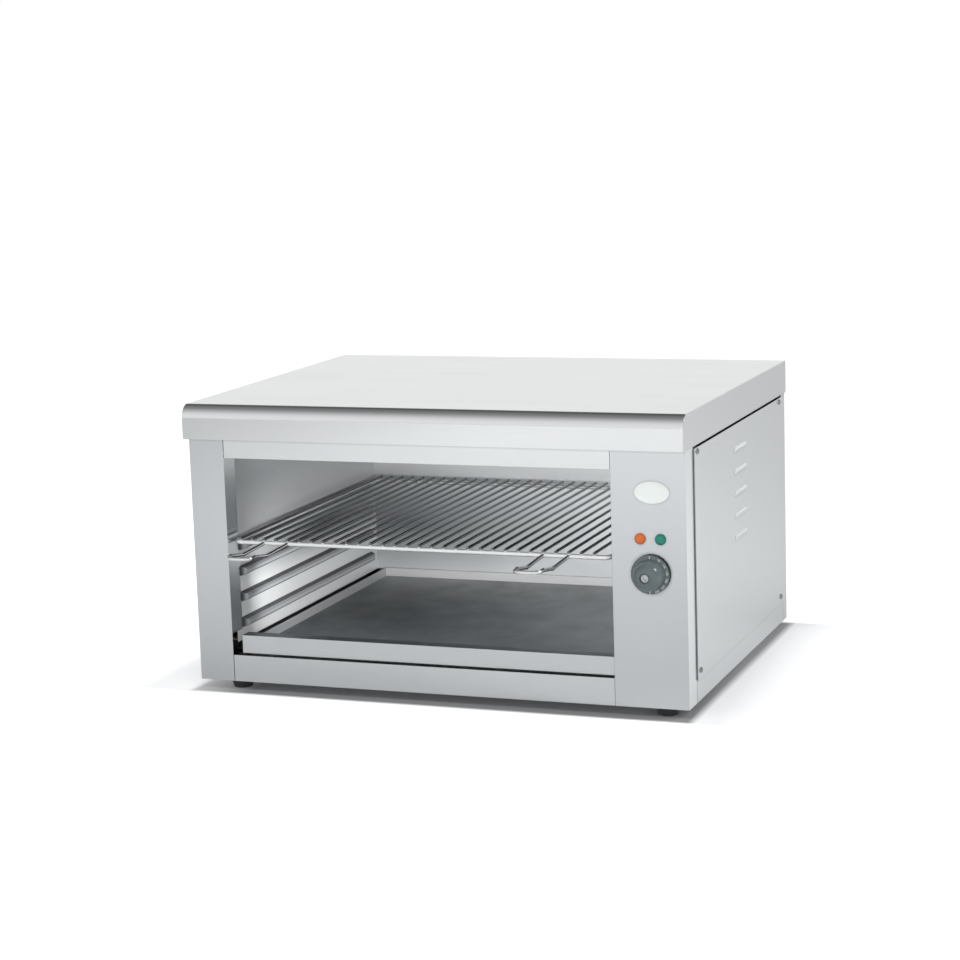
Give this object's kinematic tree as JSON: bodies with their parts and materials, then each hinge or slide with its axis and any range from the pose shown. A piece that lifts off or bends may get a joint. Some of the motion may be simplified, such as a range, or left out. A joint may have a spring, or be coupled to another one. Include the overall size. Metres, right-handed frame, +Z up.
{
  "type": "cheese melter",
  "caption": "Counter-top cheese melter: folded sheet cabinet, open chamber with rack guides, wire rack, crumb tray, overhead elements and a thermostat knob.",
  "frame": {"origin": "on the surface that the feet stand on, below the centre of the whole object's outer box", "axes": "+X to the right as seen from the front, +Y towards the rear, +Z up"},
  "size_m": [0.6064, 0.574, 0.34],
  "materials": {
    "cover_sheet": "fine brushed stainless sheet",
    "front_sheet": "fine brushed stainless sheet",
    "side_sheet": "fine brushed stainless sheet",
    "chamber_sheet": "satin stainless sheet",
    "insulation": "mineral wool pad",
    "element_sheath": "heat-darkened nickel alloy sheath",
    "bracket_steel": "bent strip",
    "brass_fittings": "turned",
    "bulb_copper": "drawn copper",
    "bright_screws": "bright zinc plated",
    "ceramic_parts": "unglazed steatite",
    "knob_black": "moulded thermoset, semi-gloss",
    "knob_cap_metal": "turned, bright",
    "amber_lens": "moulded, translucent",
    "green_lens": "moulded, translucent",
    "lamp_housing": "moulded",
    "badge_metal": "anodised, bare",
    "gland_plastic": "moulded nylon",
    "wire_sleeve": "silicone sleeve",
    "foot_rubber": "moulded rubber",
    "rack_wire": "chromium-plated wire",
    "tray_sheet": "satin stainless sheet"
  },
  "bodies": {
    "root": {"top_cover": "cover_sheet", "left_post": "front_sheet", "control_panel": "front_sheet", "top_rail": "front_sheet", "bottom_rail": "front_sheet", "base_pan": "side_sheet", "left_side_panel": "side_sheet", "right_side_panel": "side_sheet", "rear_panel": "side_sheet", "left_wall": "chamber_sheet", "right_wall": "chamber_sheet", "back_wall": "chamber_sheet", "ceiling": "chamber_sheet", "insulation_pad": "insulation", "left_guides": "chamber_sheet", "right_guides": "chamber_sheet", "left_tray_runner": "chamber_sheet", "right_tray_runner": "chamber_sheet", "heating_elements": "element_sheath", "element_hangers": "bracket_steel", "element_bushes": "brass_fittings", "element_pins": "bright_screws", "terminal_beads": "ceramic_parts", "thermostat_body": "ceramic_parts", "thermostat_screws": "bright_screws", "sensing_bulb": "bulb_copper", "capillary_tube": "bulb_copper", "bulb_clips": "bracket_steel", "amber_lens": "amber_lens", "green_lens": "green_lens", "lamp_bodies": "lamp_housing", "badge_plate": "badge_metal", "terminal_block": "ceramic_parts", "earth_stud": "brass_fittings", "cable_gland": "gland_plastic", "gland_nut": "gland_plastic", "internal_wiring": "wire_sleeve", "feet": "foot_rubber", "foot_screws": "bright_screws", "foot_nuts": "bright_screws", "side_screws": "bright_screws", "rear_screws": "bright_screws", "cover_screws": "bright_screws"},
    "knob": {"thermostat_shaft": "bright_screws", "knob": "knob_black", "knob_cap": "knob_cap_metal"},
    "rack": {"rack_frame": "rack_wire", "rack_wires": "rack_wire", "rack_handles": "rack_wire"},
    "tray": {"crumb_tray": "tray_sheet"}
  },
  "joints": [
    {"name": "knob_turn", "type": "hinge", "parent": "root", "child": "knob", "pos_m": [0.259, -0.191, 0.162], "axis": [0, 1, 0], "range_deg": [0, 270]},
    {"name": "rack_slide", "type": "slide", "parent": "root", "child": "rack", "axis": [0, -1, 0], "range_m": [0, 0.48]},
    {"name": "tray_slide", "type": "slide", "parent": "root", "child": "tray", "axis": [0, -1, 0], "range_m": [0, 0.48]}
  ]
}
